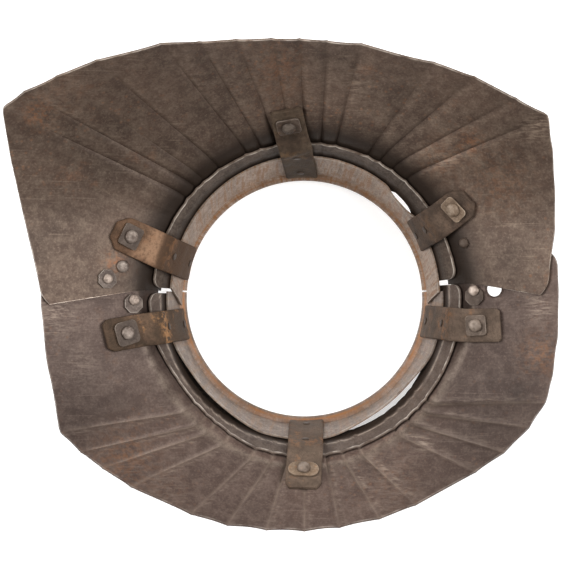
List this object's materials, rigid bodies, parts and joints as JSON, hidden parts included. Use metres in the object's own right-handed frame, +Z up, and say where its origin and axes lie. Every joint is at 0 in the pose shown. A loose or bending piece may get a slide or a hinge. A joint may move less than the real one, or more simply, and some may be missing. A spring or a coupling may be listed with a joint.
{
  "type": "steel gorget",
  "caption": "Fluted steel gorget of two hinged halves, each a flared plate with two neck lames on leather straps, lying on its turned neck rim with the inside up.",
  "frame": {"origin": "centre of the outline in plan, at the level that the turned neck rim rests on", "axes": "+Z up along the neck axis with the inside of the gorget up, +Y towards the back plate, +X along the shoulders, away from the pivot"},
  "size_m": [0.2904, 0.26, 0.1254],
  "materials": {
    "plate_steel": "dark brown patina with fine scratches, rust specks and bright worn edges",
    "lame_steel": "grey-brown patina, orange rust along the turned rim",
    "rivet_steel": "dull hammered steel with a little rust",
    "strap_leather": "old dark brown leather, dry and worn at the folds"
  },
  "bodies": {
    "front_half": {"front_plate": "plate_steel", "front_middle_lame": "lame_steel", "front_top_lame": "lame_steel", "front_left_strap": "strap_leather", "front_centre_strap": "strap_leather", "front_right_strap": "strap_leather", "front_left_strap_rivet": "rivet_steel", "front_centre_strap_rivet": "rivet_steel", "front_right_strap_rivet": "rivet_steel", "front_left_strap_washer": "rivet_steel", "front_centre_strap_washer": "rivet_steel", "front_right_strap_washer": "rivet_steel", "front_left_top_lame_rivet": "rivet_steel", "front_left_middle_lame_rivet": "rivet_steel", "front_centre_top_lame_rivet": "rivet_steel", "front_centre_middle_lame_rivet": "rivet_steel", "front_right_top_lame_rivet": "rivet_steel", "front_right_middle_lame_rivet": "rivet_steel", "front_left_rivet": "rivet_steel", "front_left_washer": "rivet_steel", "front_right_rivet": "rivet_steel", "front_right_washer": "rivet_steel", "pivot_rivet": "rivet_steel"},
    "back_half": {"back_plate": "plate_steel", "back_middle_lame": "lame_steel", "back_top_lame": "lame_steel", "back_left_strap": "strap_leather", "back_centre_strap": "strap_leather", "back_right_strap": "strap_leather", "back_left_strap_rivet": "rivet_steel", "back_centre_strap_rivet": "rivet_steel", "back_right_strap_rivet": "rivet_steel", "back_left_strap_washer": "rivet_steel", "back_centre_strap_washer": "rivet_steel", "back_right_strap_washer": "rivet_steel", "back_left_top_lame_rivet": "rivet_steel", "back_left_middle_lame_rivet": "rivet_steel", "back_centre_top_lame_rivet": "rivet_steel", "back_centre_middle_lame_rivet": "rivet_steel", "back_right_top_lame_rivet": "rivet_steel", "back_right_middle_lame_rivet": "rivet_steel", "back_left_rivet": "rivet_steel", "back_right_rivet": "rivet_steel", "pivot_washer": "rivet_steel"}
  },
  "joints": [
    {"name": "side_pivot", "type": "hinge", "parent": "front_half", "child": "back_half", "pos_m": [-0.09497, 0.00435, 0.06217], "axis": [0.3714, 0, 0.9285], "range_deg": [0, 45]}
  ]
}
